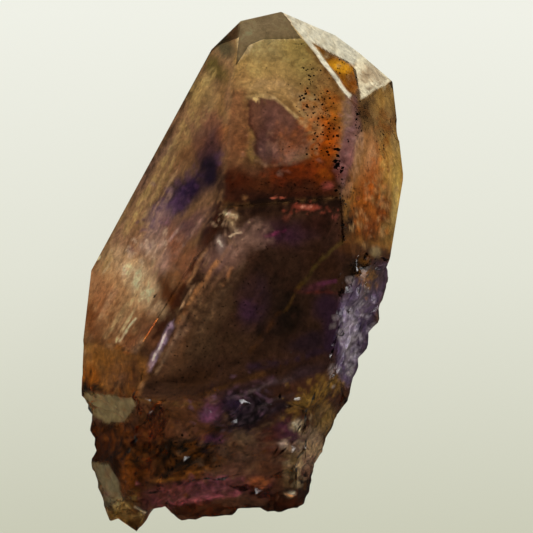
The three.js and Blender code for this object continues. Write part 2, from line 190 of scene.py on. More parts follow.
WING_PAINT = [
    (PATCH, [(240, 12), (228, 130), (221, 208), (213, 216), (137, 353), (80, 340), (78, 330),
             (84, 268), (208, 44)], 4, "#8f6a4c", 1),
    (BLOB, (224, 44), (12, 14), -30, 0.5, "#554a36", 1),
    (BLOB, (214, 72), (9, 16), -28, 0.6, "#564724", 1),
    (BLOB, (203, 98), (13, 28), -30, 0.6, "#9c8050", 1),
    (BLOB, (222, 100), (6, 26), 4, 0.6, "#86663e", 0.8),
    (BLOB, (214, 128), (10, 24), -24, 0.7, "#825440", 0.95),
    (BLOB, (190, 150), (9, 30), -32, 0.7, "#8a6444", 0.8),
    (STROKE, [(204, 66), (96, 268)], 3.2, 0.6, "#3c2818", 0.75),
    (STROKE, [(213, 72), (104, 272)], 3.6, 0.8, "#b3945e", 0.75),
    (STROKE, [(196, 118), (142, 222)], 3.0, 0.8, "#bf9e68", 0.7),
    (STROKE, [(206, 112), (160, 190)], 2.4, 0.8, "#644a2c", 0.7),
    (STROKE, [(217, 96), (176, 160)], 3.6, 0.8, "#a8885a", 0.7),
    (BLOB, (205, 148), (9, 26), -28, 0.7, "#6b463c", 0.8),
    (BLOB, (214, 150), (9, 18), -10, 0.6, "#4a3036", 0.9),
    (BLOB, (209, 172), (12, 19), -14, 0.6, "#1c1322", 1),
    (BLOB, (186, 190), (23, 12), -36, 0.7, "#1e132a", 1),
    (BLOB, (171, 209), (17, 9), -42, 0.7, "#3a2648", 0.95),
    (STROKE, [(199, 175), (182, 200), (166, 222)], 5, 0.8, "#2e1c3c", 0.7),
    (BLOB, (160, 222), (15, 11), -34, 0.7, "#82656e", 0.9),
    (BLOB, (188, 228), (22, 10), -34, 0.7, "#6e4a52", 0.9),
    (STROKE, [(172, 190), (146, 240)], 2.6, 0.8, "#9c7c74", 0.7),
    (STROKE, [(214, 212), (182, 238), (158, 262)], 6, 0.9, "#8a6660", 0.7),
    # Painted shade: a dark line down the corner where the wing drops to the plate
    (STROKE, [(224, 168), (219, 205), (206, 232)], 5.5, 0.8, "#2c1715", 0.85),
    (BLOB, (128, 250), (16, 26), -34, 0.7, "#9a6e58", 0.8),
    (BLOB, (154, 245), (15, 9), -32, 0.8, "#b8948a", 0.95),
    (BLOB, (160, 264), (17, 12), -34, 0.7, "#c49c86", 0.9),
    (BLOB, (134, 284), (22, 30), -34, 0.8, "#d09c70", 1),
    # Painted highlight: a cream-white glow of light in the wing
    (BLOB, (142, 281), (10, 28), -38, 0.9, "#ffe2bc", 1),
    (BLOB, (105, 300), (13, 28), -10, 0.7, "#ad7048", 0.9),
    (BLOB, (94, 322), (9, 22), -4, 0.6, "#7c4421", 0.9),
    (BLOB, (98, 282), (8, 14), -24, 0.7, "#a5704e", 0.8),
    (BLOB, (113, 326), (14, 12), -20, 0.7, "#a0704c", 0.85),
    (BLOB, (128, 336), (13, 9), -20, 0.7, "#8a5230", 0.8),
    # Painted highlights: cream-white streaks of light along the wing
    (STROKE, [(158, 270), (128, 306), (106, 336)], 2.6, 0.8, "#edc896", 0.8),
    (STROKE, [(141, 298), (117, 341)], 1.6, 0.7, "#f4d6a8", 0.85),
    (STROKE, [(136, 318), (121, 340)], 1.2, 0.6, "#ffe9c4", 0.9),
    (STROKE, [(120, 282), (100, 318)], 2.2, 0.8, "#c4966c", 0.6),
    (STROKE, [(176, 262), (156, 300), (138, 326)], 3.2, 0.9, "#6a3f24", 0.55),
    (STROKE, [(154, 262), (146, 296)], 2.0, 0.8, "#f0d4ac", 0.5),
    (BLOB, (186, 256), (12, 32), -32, 0.7, "#a4694c", 0.9),
    (BLOB, (172, 300), (8, 32), -31, 0.7, "#54290f", 0.95),
    (BLOB, (152, 334), (9, 18), -31, 0.7, "#7c4e36", 0.8),
    (BLOB, (176, 276), (5, 14), -30, 0.7, "#a46a40", 0.6),
    # Painted shade: the dark crescent along the small ledge at the foot of the wing
    (STROKE, [(82, 345), (108, 343), (130, 351), (141, 358)], 2.4, 0.7, "#3a1b0c", 0.9),
    (BLOB, (128, 352), (3.5, 2.2), 10, 0.5, "#dc7c40", 0.9),
    # Painted highlight: a thin cream line of light on the left edge
    (STROKE, [(91, 264), (99, 257)], 1.2, 0.5, "#f0dcb4", 0.9),
    (STROKE, [(150, 158), (102, 258)], 2.0, 0.9, "#8c6c44", 0.6),
    (STROKE, [(186, 128), (150, 196), (120, 262)], 1.6, 0.9, "#6a4c32", 0.6),
    (STROKE, [(178, 168), (128, 262)], 1.4, 0.8, "#c8a078", 0.5),
    (STROKE, [(140, 262), (104, 330)], 1.6, 0.8, "#8a5a38", 0.6),
    (STROKE, [(170, 240), (118, 330)], 1.4, 0.8, "#e0b088", 0.5),
    (STROKE, [(196, 232), (150, 312)], 1.8, 0.9, "#7c5238", 0.6),
    (STROKE, [(206, 214), (184, 246)], 1.4, 0.8, "#b48c84", 0.6),
]
PLATE_PAINT = [
    (PATCH, [(224, 210), (341, 201), (343, 244), (362, 262), (340, 372), (240, 396), (140, 396),
             (150, 362)], 4, "#38231a", 1),
    (BLOB, (204, 320), (17, 50), 31, 0.5, "#4f3829", 0.9),
    (BLOB, (176, 352), (12, 26), 31, 0.6, "#5a3c2a", 0.9),
    (BLOB, (216, 262), (13, 16), 20, 0.6, "#6b4c46", 0.9),
    (BLOB, (245, 232), (20, 8), -22, 0.6, "#5d453c", 0.85),
    (BLOB, (272, 300), (30, 42), 20, 0.5, "#281912", 0.9),
    (BLOB, (252, 302), (13, 26), 20, 0.6, "#321f28", 0.8),
    (BLOB, (244, 306), (8, 9), 0, 0.7, "#432640", 0.7),
    (BLOB, (288, 312), (13, 20), 10, 0.6, "#150e0a", 0.9),
    (BLOB, (262, 330), (10, 10), 0, 0.6, "#100d0b", 0.7),
    (BLOB, (285, 234), (28, 11), 3, 0.7, "#3c2230", 0.9),
    (BLOB, (318, 226), (16, 10), 0, 0.7, "#2c1610", 0.9),
    (BLOB, (322, 262), (17, 18), 40, 0.6, "#2e1a10", 0.9),
    (BLOB, (325, 305), (13, 14), 0, 0.6, "#2e1b30", 0.9),
    (BLOB, (306, 342), (22, 10), -8, 0.6, "#241722", 0.9),
    (BLOB, (232, 340), (18, 14), 0, 0.7, "#3c281c", 0.8),
    (BLOB, (206, 345), (12, 16), 20, 0.7, "#4c3627", 0.7),
    (BLOB, (190, 378), (26, 8), -6, 0.7, "#3e2618", 0.9),
    (BLOB, (357, 270), (11, 11), 0, 0.6, "#1a110a", 0.95),
    (BLOB, (350, 249), (12, 5), 10, 0.7, "#55331a", 0.85),
    (BLOB, (372, 268), (4, 10), -8, 0.6, "#b4661c", 0.9),
    (BLOB, (376, 252), (5, 5), 0, 0.6, "#a89670", 0.9),
    (BLOB, (317, 286), (12, 4), -18, 0.7, "#4c2232", 0.8),
    (BLOB, (300, 376), (26, 8), -20, 0.7, "#33242c", 0.9),
    (BLOB, (322, 382), (14, 8), -32, 0.7, "#4c3a1c", 0.85),
    # Painted shade: a dark line in the step under the ledge at the foot of the cap
    (STROKE, [(223, 209), (260, 202), (300, 201), (341, 199)], 4.0, 0.7, "#160c0a", 0.9),
    # Painted shade: a dark line along the valley where the wing meets the plate
    (STROKE, [(222, 206), (212, 234), (196, 262), (178, 300), (156, 338)], 3.2, 0.8, "#3a1c12", 0.9),
    (STROKE, [(262, 226), (240, 238), (226, 252)], 2.6, 0.8, "#86655a", 0.8),
    (STROKE, [(250, 222), (232, 244), (218, 270)], 2.2, 0.8, "#7c5a54", 0.8),
    (STROKE, [(238, 250), (204, 300), (172, 352)], 2.4, 0.8, "#6a4a38", 0.7),
    (STROKE, [(228, 250), (198, 296), (160, 360)], 1.8, 0.8, "#8c6248", 0.7),
    (STROKE, [(246, 262), (214, 306), (190, 350)], 3.0, 0.9, "#5e4636", 0.6),
    (STROKE, [(232, 268), (224, 284)], 2.0, 0.7, "#9a6644", 0.7),
    (STROKE, [(218, 262), (198, 290), (178, 322)], 1.9, 0.6, "#b87c50", 0.8),
    (STROKE, [(207, 250), (199, 264), (190, 281)], 1.6, 0.9, "#c08c64", 0.7),
    (STROKE, [(195, 286), (182, 306)], 1.2, 0.6, "#e4b894", 0.7),
    # Painted highlight: the lilac glint of light along the ridge, with its white core
    (STROKE, [(173, 324), (162, 344), (150, 368)], 2.6, 0.7, "#ae94bc", 0.95),
    (STROKE, [(166, 334), (154, 358)], 1.1, 0.5, "#f4e6f4", 0.9),
    (STROKE, [(150, 366), (140, 392)], 2.0, 0.7, "#86604c", 0.8),
    (STROKE, [(180, 330), (158, 372)], 1.6, 0.7, "#94745e", 0.7),
    (STROKE, [(342, 243), (322, 259), (303, 281)], 2.0, 0.9, "#5a4a20", 0.6),
    (STROKE, [(303, 281), (284, 312)], 1.6, 0.7, "#4e3614", 0.8),
    (STROKE, [(266, 236), (284, 231)], 1.8, 0.6, "#82305a", 0.9),
    (STROKE, [(318, 284), (334, 281)], 1.8, 0.6, "#6c2f5a", 0.85),
    (STROKE, [(296, 291), (336, 293)], 1.4, 0.7, "#54221e", 0.8),
    (STROKE, [(280, 312), (250, 352)], 2.4, 0.9, "#3e2410", 0.7),
    (STROKE, [(262, 350), (205, 374), (150, 384)], 3.6, 0.9, "#26160f", 0.7),
    (STROKE, [(330, 352), (268, 372), (200, 392)], 4.0, 0.9, "#281611", 0.7),
    (STROKE, [(262, 374), (200, 397), (140, 400)], 3.2, 0.9, "#5a3a1e", 0.75),
    (STROKE, [(346, 340), (292, 360), (250, 366)], 3.6, 0.9, "#2a1b2e", 0.7),
    (STROKE, [(272, 380), (240, 386), (222, 394), (204, 403)], 3.2, 1.0, "#60405a", 0.75),
    (STROKE, [(292, 379), (270, 382), (248, 392), (226, 397)], 2.4, 1.0, "#6c5a60", 0.6),
    (STROKE, [(300, 388), (288, 391), (278, 398)], 2.0, 1.0, "#5c4e4e", 0.6),
    # Painted shade: more dark in the step under the ledge
    (STROKE, [(232, 211), (280, 208), (340, 206)], 5.5, 0.8, "#180c09", 0.8),
    (BLOB, (243, 244), (20, 9), -32, 0.7, "#86645a", 0.55),
    (BLOB, (232, 258), (9, 10), 0, 0.7, "#7c5a50", 0.5),
]
# Painted glints: bright spots and lines where light catches cracks and edges, painted as colour
GLINT_PAINT = [
    (BLOB, (231, 216), (7, 5), 20, 0.6, "#8a6a50", 0.9),
    (STROKE, [(225, 213), (237, 217)], 1.1, 0.5, "#fff0c8", 0.95),
    (STROKE, [(227, 219), (232, 222)], 0.9, 0.5, "#ffe0b0", 0.9),
    (BLOB, (220, 245), (4, 8), -12, 0.8, "#a08480", 0.8),
    (STROKE, [(218, 240), (222, 246)], 1.2, 0.7, "#fff0e4", 0.9),
    (STROKE, [(230, 237), (236, 233), (241, 232)], 0.9, 0.7, "#e8ccb0", 0.7),
    (STROKE, [(243, 239), (251, 234)], 0.9, 0.7, "#c8a08c", 0.6),
    (BLOB, (306, 208), (11, 2.4), 4, 0.6, "#a84a3c", 0.95),
    (STROKE, [(302, 208), (310, 208)], 1.1, 0.5, "#ffb4a4", 0.95),
    (BLOB, (274, 199), (3, 1.2), 0, 0.5, "#c06450", 0.9),
    (BLOB, (283, 199), (3, 1.2), 0, 0.5, "#b05844", 0.9),
    (BLOB, (308, 219), (2, 1.5), 0, 0.5, "#a8585a", 0.9),
    (BLOB, (332, 217), (3, 1.3), 0, 0.5, "#9c5048", 0.9),
    (BLOB, (256, 100), (3, 1.6), 0, 0.5, "#ffd898", 0.9),
    (STROKE, [(102, 274), (110, 264)], 0.9, 0.8, "#d8b898", 0.5),
    (STROKE, [(170, 241), (176, 233), (183, 227)], 1.8, 0.9, "#c4a09c", 0.6),
    (STROKE, [(132, 284), (140, 276)], 1.4, 0.6, "#ffe6bc", 0.8),
]
BASE_PAINT = [
    (PATCH, [(70, 395), (140, 396), (240, 396), (338, 368), (352, 385), (330, 425), (330, 480),
             (300, 540), (100, 540)], 5, "#46291d", 1),
    (PATCH, [(80, 340), (133, 351), (150, 362), (138, 396), (112, 393), (80, 383)], 6, "#8e5e30", 1),
    (BLOB, (98, 354), (18, 7), 4, 0.6, "#8c5a2a", 0.8),
    (BLOB, (92, 374), (11, 10), 0, 0.6, "#9a5416", 0.85),
    (BLOB, (122, 370), (14, 12), 0, 0.7, "#80563a", 0.8),
    (BLOB, (133, 373), (9, 15), 0, 0.7, "#4e2c18", 0.8),
    (STROKE, [(82, 382), (108, 388), (136, 391)], 4.5, 0.8, "#5c2b08", 0.85),
    (BLOB, (86, 388), (3.2, 7), -4, 0.4, "#13100c", 0.95),
    (BLOB, (98, 387), (6, 3.4), 8, 0.4, "#1d1912", 0.95),
    (BLOB, (92, 371), (2, 3), 0, 0.4, "#1d120a", 0.9),
    (PATCH, [(86, 392), (133, 397), (139, 402), (124, 421), (108, 423), (88, 412)], 1.5, "#877650", 1),
    (PATCH, [(86, 425), (142, 421), (152, 440), (140, 530), (121, 480), (86, 460)], 4, "#301606", 1),
    (BLOB, (134, 440), (14, 13), 0, 0.6, "#201008", 0.9),
    (BLOB, (104, 444), (12, 12), 0, 0.7, "#3c1a08", 0.8),
    (BLOB, (126, 474), (6, 20), 0, 0.7, "#743e14", 0.85),
    (PATCH, [(84, 462), (108, 464), (118, 478), (122, 500), (109, 520), (90, 497)], 1.5, "#7a7058", 1),
    (BLOB, (118, 518), (16, 10), 20, 0.6, "#a87c2c", 1),
    (BLOB, (124, 512), (4, 3), 0, 0.6, "#ecd690", 0.8),
    (BLOB, (136, 523), (8, 5), 0, 0.6, "#6c4c22", 0.9),
    (BLOB, (132, 503), (8, 8), 0, 0.6, "#5e401e", 0.9),
    (BLOB, (185, 456), (42, 25), -4, 0.6, "#542e0f", 0.85),
    (BLOB, (183, 454), (30, 18), -8, 0.6, "#160e08", 0.95),
    (BLOB, (216, 450), (12, 7), -6, 0.6, "#2a180e", 0.8),
    (BLOB, (180, 454), (20, 11), -8, 0.7, "#1a0e08", 0.75),
    (BLOB, (200, 470), (16, 5), -14, 0.7, "#7c4418", 0.8),
    (STROKE, [(152, 481), (186, 478), (206, 466)], 2.0, 0.9, "#8c5a24", 0.7),
    (BLOB, (160, 414), (32, 12), 0, 0.7, "#50301a", 0.85),
    (BLOB, (150, 430), (20, 9), 0, 0.7, "#5a2a12", 0.8),
    (BLOB, (182, 432), (15, 8), 0, 0.7, "#5e3c2c", 0.8),
    (STROKE, [(140, 400), (202, 404)], 2.6, 0.8, "#664626", 0.7),
    (BLOB, (213, 410), (13, 10), -22, 0.6, "#5c3450", 0.9),
    (BLOB, (208, 416), (7, 4), -20, 0.6, "#7c4670", 0.9),
    (BLOB, (211, 441), (11, 6), 0, 0.7, "#4c2844", 0.9),
    (BLOB, (247, 409), (30, 20), -22, 0.6, "#0d0a10", 1),
    (BLOB, (238, 430), (14, 9), 0, 0.6, "#1c1018", 0.9),
    (BLOB, (234, 404), (9, 7), 0, 0.7, "#30203a", 0.8),
    (BLOB, (285, 404), (20, 7), -20, 0.7, "#241922", 0.9),
    (STROKE, [(228, 398), (244, 393), (262, 387)], 1.4, 0.9, "#6e5e68", 0.5),
    (STROKE, [(256, 408), (274, 398), (292, 394)], 1.6, 0.9, "#4a4048", 0.5),
    (STROKE, [(344, 371), (322, 386), (296, 404)], 6.0, 0.8, "#6e5026", 0.85),
    (STROKE, [(338, 380), (304, 401)], 3.4, 0.9, "#8a6a30", 0.8),
    (STROKE, [(284, 415), (248, 434)], 2.6, 0.9, "#5c4634", 0.6),
    (BLOB, (324, 420), (11, 15), -15, 0.6, "#84683c", 0.9),
    (BLOB, (313, 450), (13, 18), -8, 0.6, "#a88c6e", 0.9),
    (BLOB, (308, 468), (13, 11), -12, 0.6, "#855f52", 0.85),
    (BLOB, (286, 431), (14, 8), -22, 0.7, "#4e283e", 0.85),
    (BLOB, (300, 440), (9, 8), 0, 0.7, "#41243a", 0.85),
    (BLOB, (268, 440), (14, 12), 0, 0.7, "#461f18", 0.85),
    (BLOB, (262, 462), (8, 9), 0, 0.7, "#523020", 0.8),
    (BLOB, (290, 466), (7, 15), 10, 0.7, "#745f40", 0.85),
    (STROKE, [(301, 450), (296, 486)], 2.8, 0.8, "#a08e70", 0.8),
    (BLOB, (316, 472), (5, 13), -12, 0.6, "#603a32", 0.85),
    (BLOB, (240, 456), (20, 18), 0, 0.7, "#52382a", 0.8),
    (BLOB, (242, 438), (10, 7), 0, 0.7, "#64503e", 0.7),
    (BLOB, (226, 475), (24, 7), -4, 0.7, "#664238", 0.8),
    (STROKE, [(148, 502), (190, 486), (230, 483), (264, 487)], 8.0, 0.8, "#5c2e3c", 0.9),
    (BLOB, (205, 488), (24, 7), -4, 0.7, "#7c4058", 0.85),
    (BLOB, (170, 495), (16, 6), -14, 0.7, "#783c42", 0.85),
    (BLOB, (258, 482), (10, 5), 0, 0.7, "#96502a", 0.8),
    (STROKE, [(160, 508), (200, 499), (240, 493)], 2.4, 0.8, "#a04c62", 0.8),
    # Painted glints: white sparkles of light on the broken base
    (BLOB, (297, 424), (5, 5), 0, 0.6, "#b4a690", 0.9),
    (STROKE, [(294, 422), (299, 428)], 1.6, 0.5, "#fff4e0", 0.9),
    (BLOB, (284, 443), (4, 4), 0, 0.6, "#c0a89c", 0.85),
    (BLOB, (290, 494), (5, 3), 0, 0.6, "#eee6d8", 0.9),
    (STROKE, [(136, 507), (146, 512)], 1.2, 0.5, "#fff8ec", 0.95),
]
FROST_PAINT = [
    (PATCH, [(340, 298), (372, 260), (390, 262), (386, 285), (374, 318), (376, 335), (362, 372),
             (348, 388), (337, 372), (336, 345)], 3, "#4a3a56", 1),
    (BLOB, (352, 305), (11, 8), -20, 0.6, "#4c3e66", 0.9),
    (BLOB, (346, 330), (7, 13), 0, 0.6, "#69527e", 0.9),
    (BLOB, (362, 298), (7, 20), 24, 0.6, "#584c62", 0.85),
    (BLOB, (360, 330), (8, 20), 0, 0.7, "#342638", 0.9),
    (BLOB, (358, 354), (8, 13), 10, 0.6, "#54445e", 0.85),
    (STROKE, [(347, 334), (350, 372)], 3.0, 0.8, "#c4bac0", 0.9),
    (STROKE, [(343, 300), (346, 345)], 1.8, 0.8, "#8a7aa8", 0.85),
    (STROKE, [(374, 268), (362, 294)], 2.2, 0.9, "#7c6450", 0.6),
    (STROKE, [(368, 300), (356, 322)], 1.6, 0.9, "#7c6e84", 0.7),
    (STROKE, [(356, 340), (354, 366)], 1.4, 0.7, "#a89cae", 0.8),
    (BLOB, (330, 332), (8, 20), 0, 0.7, "#2e1c34", 0.9),
    (BLOB, (371, 273), (13, 16), 18, 0.7, "#352114", 0.92),
]
# Clouds of small stains, and a few clouds of painted glints and highlights: middle, half sizes and
# turn of the cloud, how many, smallest and largest spot in steps, colour, strength
SPRINKLES = [
    ((325, 132), (15, 34), -4, 60, 1.5, 5.0, "#b45a12", 0.48),
    ((325, 130), (14, 36), -4, 50, 1.0, 3.6, "#33190c", 0.54),
    ((312, 118), (12, 26), 0, 40, 1.0, 3.6, "#b0946c", 0.41),
    ((300, 176), (34, 10), 0, 50, 1.2, 4.5, "#6c260a", 0.41),
    ((300, 180), (40, 12), 0, 50, 1.0, 4.0, "#1c0b07", 0.48),
    ((288, 145), (16, 16), 0, 30, 1.0, 3.0, "#a0623c", 0.41),
    ((238, 140), (12, 46), 0, 30, 1.0, 3.2, "#a8744a", 0.34),
    ((236, 150), (12, 46), 0, 30, 1.0, 3.2, "#4a2818", 0.34),
    ((262, 60), (30, 30), 0, 40, 1.0, 3.0, "#6c4c24", 0.31),
    # Painted glints: a cloud of pale sparkles of light under the ledge
    ((230, 222), (12, 10), -20, 26, 0.7, 1.8, "#d8b494", 0.45),
    ((250, 236), (26, 14), -20, 50, 0.8, 3.0, "#8c6a60", 0.41),
    ((300, 232), (30, 16), 0, 50, 1.0, 4.0, "#1c0e0c", 0.41),
    # Painted glints: reddish sparkles of light along the ledge
    ((310, 208), (26, 8), 0, 24, 0.8, 2.2, "#a04a3a", 0.48),
    ((200, 300), (20, 50), 31, 70, 0.8, 3.2, "#8a684c", 0.34),
    ((200, 310), (24, 50), 31, 70, 0.8, 3.0, "#2a1810", 0.41),
    ((270, 300), (40, 50), 25, 60, 1.5, 6.0, "#130c0a", 0.34),
    ((262, 300), (40, 50), 25, 50, 1.5, 6.0, "#40261c", 0.34),
    ((120, 300), (24, 44), 30, 60, 1.0, 3.6, "#d8a87c", 0.34),
    ((125, 310), (24, 40), 30, 50, 1.0, 3.6, "#7a4a2c", 0.34),
    ((170, 250), (30, 34), 30, 60, 1.0, 3.4, "#a88474", 0.31),
    ((110, 366), (24, 20), 0, 50, 1.0, 3.6, "#b06c24", 0.34),
    ((112, 374), (24, 18), 0, 40, 1.0, 3.0, "#3c1c0a", 0.41),
    ((186, 455), (34, 22), -6, 120, 1.2, 5.0, "#0a0704", 0.8),
    ((186, 458), (42, 26), -6, 70, 1.0, 3.6, "#7c4618", 0.34),
    ((240, 450), (40, 30), 0, 70, 1.0, 4.0, "#755844", 0.34),
    ((240, 420), (50, 30), 0, 60, 1.0, 4.4, "#20131a", 0.41),
    ((225, 400), (40, 16), -20, 40, 0.8, 2.6, "#7c5a78", 0.41),
    ((316, 396), (28, 14), -35, 70, 1.0, 3.4, "#a47c34", 0.41),
    ((300, 415), (40, 24), -35, 60, 1.0, 3.6, "#2e1a14", 0.41),
    ((306, 452), (16, 30), 0, 60, 1.0, 3.6, "#b8a282", 0.41),
    ((300, 452), (18, 30), 0, 50, 1.0, 3.2, "#54302c", 0.41),
    ((200, 490), (50, 10), -6, 50, 1.0, 3.6, "#a05c70", 0.34),
    ((205, 490), (52, 9), -6, 70, 1.2, 4.4, "#3a2018", 0.6),
    ((200, 488), (54, 12), -6, 50, 1.0, 3.4, "#3c1a1e", 0.41),
    ((130, 440), (24, 40), 0, 80, 1.0, 4.0, "#150a05", 0.41),
    ((120, 450), (26, 44), 0, 60, 1.0, 4.0, "#7c4218", 0.41),
    ((122, 512), (16, 10), 10, 40, 0.8, 2.6, "#ecd08a", 0.41),
    ((124, 514), (18, 10), 10, 40, 0.8, 2.6, "#54340f", 0.48),
    ((354, 330), (14, 36), 12, 110, 0.8, 3.0, "#d0c6d6", 0.48),
    ((352, 330), (14, 40), 12, 90, 0.8, 3.4, "#3c2a54", 0.48),
    ((366, 275), (10, 14), 0, 40, 0.8, 2.8, "#b0742c", 0.41),
    ((372, 215), (22, 34), 5, 60, 0.8, 3.2, "#5a3212", 0.34),
    ((386, 190), (14, 46), 4, 40, 0.8, 3.0, "#d8b878", 0.31),
    ((366, 118), (8, 26), 8, 50, 0.8, 3.0, "#33200f", 0.48),
    ((384, 128), (8, 22), 0, 30, 0.8, 2.8, "#8c4e18", 0.41),
    ((345, 140), (6, 40), 4, 24, 0.8, 2.6, "#a07c84", 0.34),
    ((372, 205), (16, 34), 14, 80, 0.8, 3.2, "#d8782c", 0.45),
    ((374, 200), (16, 36), 14, 60, 0.8, 2.6, "#e0b078", 0.4),
    ((370, 210), (14, 34), 14, 70, 0.8, 3.0, "#4a1e08", 0.5),
    ((278, 150), (26, 18), 0, 60, 0.8, 2.6, "#a88070", 0.35),
    ((322, 36), (34, 12), 34, 90, 0.7, 2.2, "#a89878", 0.5),
    ((374, 76), (14, 12), 0, 110, 0.7, 2.4, "#7a5a38", 0.65),
    ((176, 200), (40, 14), -50, 60, 1.0, 4.0, "#5a3c62", 0.4),
    # Painted highlight: pale sparkles of light in the wing's glow
    ((150, 245), (22, 12), -32, 40, 1.0, 3.0, "#ecd0bc", 0.45),
    ((250, 408), (28, 18), -22, 60, 0.8, 2.6, "#4a3c4c", 0.5),
]
PAINT = (CAP_PAINT + SHOULDER_PAINT + WING_PAINT + PLATE_PAINT + BASE_PAINT + FROST_PAINT
         + GLINT_PAINT)


def mix_colour(tree, share, below, above, kind="MIX"):
    """Lays one colour over another. Each of share, below and above is a socket or a value."""
    node = add(tree, "ShaderNodeMix", {"data_type": "RGBA", "blend_type": kind})
    factor, first, second = node.inputs[0], node.inputs[6], node.inputs[7]
    for target, given in ((factor, share), (first, below), (second, above)):
        if isinstance(given, bpy.types.NodeSocket):
            tree.links.new(given, target)
        else:
            target.default_value = given
    return node.outputs[2]


def wandering(tree, place, size, by):
    """The place pushed about by noise of one size, so that no line runs straight."""
    swirl = add(tree, "ShaderNodeTexNoise", {"Scale": 1 / (size * MM), "Detail": 3.0},
                {"Vector": place})
    centred = add(tree, "ShaderNodeVectorMath", {"operation": "SUBTRACT", 1: (0.5, 0.5, 0.5)},
                  {0: swirl.outputs["Color"]})
    scaled = add(tree, "ShaderNodeVectorMath", {"operation": "SCALE", "Scale": by * MM},
                 {0: centred.outputs[0]})
    return add(tree, "ShaderNodeVectorMath", {"operation": "ADD"},
               {0: place, 1: scaled.outputs[0]}).outputs[0]


def streaks(tree, place, turn, across, along, low, high):
    """Grey streaks along one direction of the plan: noise squeezed across and drawn out along."""
    local = add(tree, "ShaderNodeMapping", {
        "vector_type": "TEXTURE",
        "Rotation": (0, 0, np.radians(turn)),
        "Scale": (across * MM, along * MM, along * MM),
    }, {"Vector": place})
    noise = add(tree, "ShaderNodeTexNoise", {"Scale": 1.0, "Detail": 6.0, "Roughness": 0.68},
                {"Vector": local.outputs[0]})
    return add(tree, "ShaderNodeMapRange", {
        "From Min": 0.32, "From Max": 0.68, "To Min": low, "To Max": high,
    }, {"Value": noise.outputs[0]}).outputs[0]


def threads(tree, place, size, width, level):
    """Thin wandering lines, as healed cracks leave: a level where noise is near its middle."""
    noise = add(tree, "ShaderNodeTexNoise", {"Scale": 1 / (size * MM), "Detail": 2.5},
                {"Vector": place})
    off = add(tree, "ShaderNodeMath", {"operation": "SUBTRACT", 1: 0.5}, {0: noise.outputs[0]})
    away = add(tree, "ShaderNodeMath", {"operation": "ABSOLUTE"}, {0: off.outputs[0]})
    return add(tree, "ShaderNodeMapRange", {
        "From Min": 0.0, "From Max": width, "To Min": level, "To Max": 1.0,
    }, {"Value": away.outputs[0]}).outputs[0]


def stains_and_painted_light(tree, front_power, back_power, contrast, veins):
    """The painted colour, stains together with painted glints, highlights and shade, with fine streaks
    and mottling. Light crosses the front and the back of the crystal, and the front, where the
    stains are looked at, takes the greater share."""
    place = add(tree, "ShaderNodeTexCoord").outputs["Object"]
    colour = add(tree, "ShaderNodeAttribute", {"attribute_name": "stain_and_painted_light"}).outputs["Color"]
    back = add(tree, "ShaderNodeAttribute", {"attribute_name": "back"}).outputs["Fac"]
    power = add(tree, "ShaderNodeMapRange", {"To Min": front_power, "To Max": back_power},
                {"Value": back})
    share = add(tree, "ShaderNodeGamma", None, {"Color": colour, "Gamma": power.outputs[0]})
    moved = wandering(tree, place, 2.2, 1.6)
    drawn = streaks(tree, moved, -31, 1.1, 7.0, 1 - 0.6 * contrast, 1 + 0.7 * contrast)
    mottled = streaks(tree, moved, 20, 0.8, 0.8, 1 - contrast, 1 + 1.1 * contrast)
    lit = threads(tree, moved, 1.5, 0.03, 1 + veins)
    dark = threads(tree, moved, 2.6, 0.04, 1 - 0.5 * veins)
    grain = drawn
    for layer in (mottled, lit, dark):
        grain = add(tree, "ShaderNodeMath", {"operation": "MULTIPLY"}, {0: grain, 1: layer}).outputs[0]
    return mix_colour(tree, 1.0, share.outputs[0], grain, "MULTIPLY"), place


def quartz(name, front_power, contrast, veins, rough, clear, pit_size, pit_strength, fleck=0.0):
    """One finish of the same crystal: how clear, rough and pitted it is."""
    material, tree = new_material(name)
    colour, place = stains_and_painted_light(tree, front_power, 0.3, contrast, veins)
    pits = add(tree, "ShaderNodeTexNoise", {"Scale": 1 / (pit_size * MM), "Detail": 6.0,
                                            "Roughness": 0.65}, {"Vector": place})
    bump = add(tree, "ShaderNodeBump", {"Distance": 0.2 * MM, "Strength": pit_strength},
               {"Height": pits.outputs[0]})
    if fleck:
        dots = add(tree, "ShaderNodeMapRange", {"From Min": 0.56, "From Max": 0.7, "To Max": fleck},
                   {"Value": pits.outputs[0]})
        colour = mix_colour(tree, dots.outputs[0], colour, linear("#5a4028"))
    shader = add(tree, "ShaderNodeBsdfPrincipled", {
        "IOR": QUARTZ_IOR, "Transmission Weight": clear, "Roughness": rough,
    }, {"Base Color": colour, "Normal": bump.outputs[0]})
    absorb = add(tree, "ShaderNodeVolumeAbsorption", {"Color": linear("#e6c8a8"), "Density": 6.0})
    add(tree, "ShaderNodeOutputMaterial", None,
        {"Surface": shader.outputs[0], "Volume": absorb.outputs[0]})
    return material


# Smoky amethyst quartz, as grown: window-clear and glossy, with only faint growth marks
def grown_quartz():
    return quartz("grown_quartz", front_power=1.8, contrast=0.46, veins=0.38, rough=0.03,
                  clear=1.0, pit_size=2.5, pit_strength=0.04)


# Smoky amethyst quartz, snapped across: clear, with the glossy uneven break of glass
def snapped_quartz():
    return quartz("snapped_quartz", front_power=1.8, contrast=0.85, veins=0.85, rough=0.14,
                  clear=1.0, pit_size=1.1, pit_strength=0.35)


# Amethyst quartz broken into fine crystal grain: lilac white, sugary and half clear
def frosted_quartz():
    return quartz("frosted_quartz", front_power=1.2, contrast=0.8, veins=0.7, rough=0.3,
                  clear=0.6, pit_size=0.7, pit_strength=0.8)


# Quartz etched matt by natural acids: pale, satin and flecked with iron
def etched_quartz():
    return quartz("etched_quartz", front_power=1.0, contrast=0.34, veins=0.1, rough=0.38,
                  clear=0.15, pit_size=0.5, pit_strength=0.3, fleck=0.6)


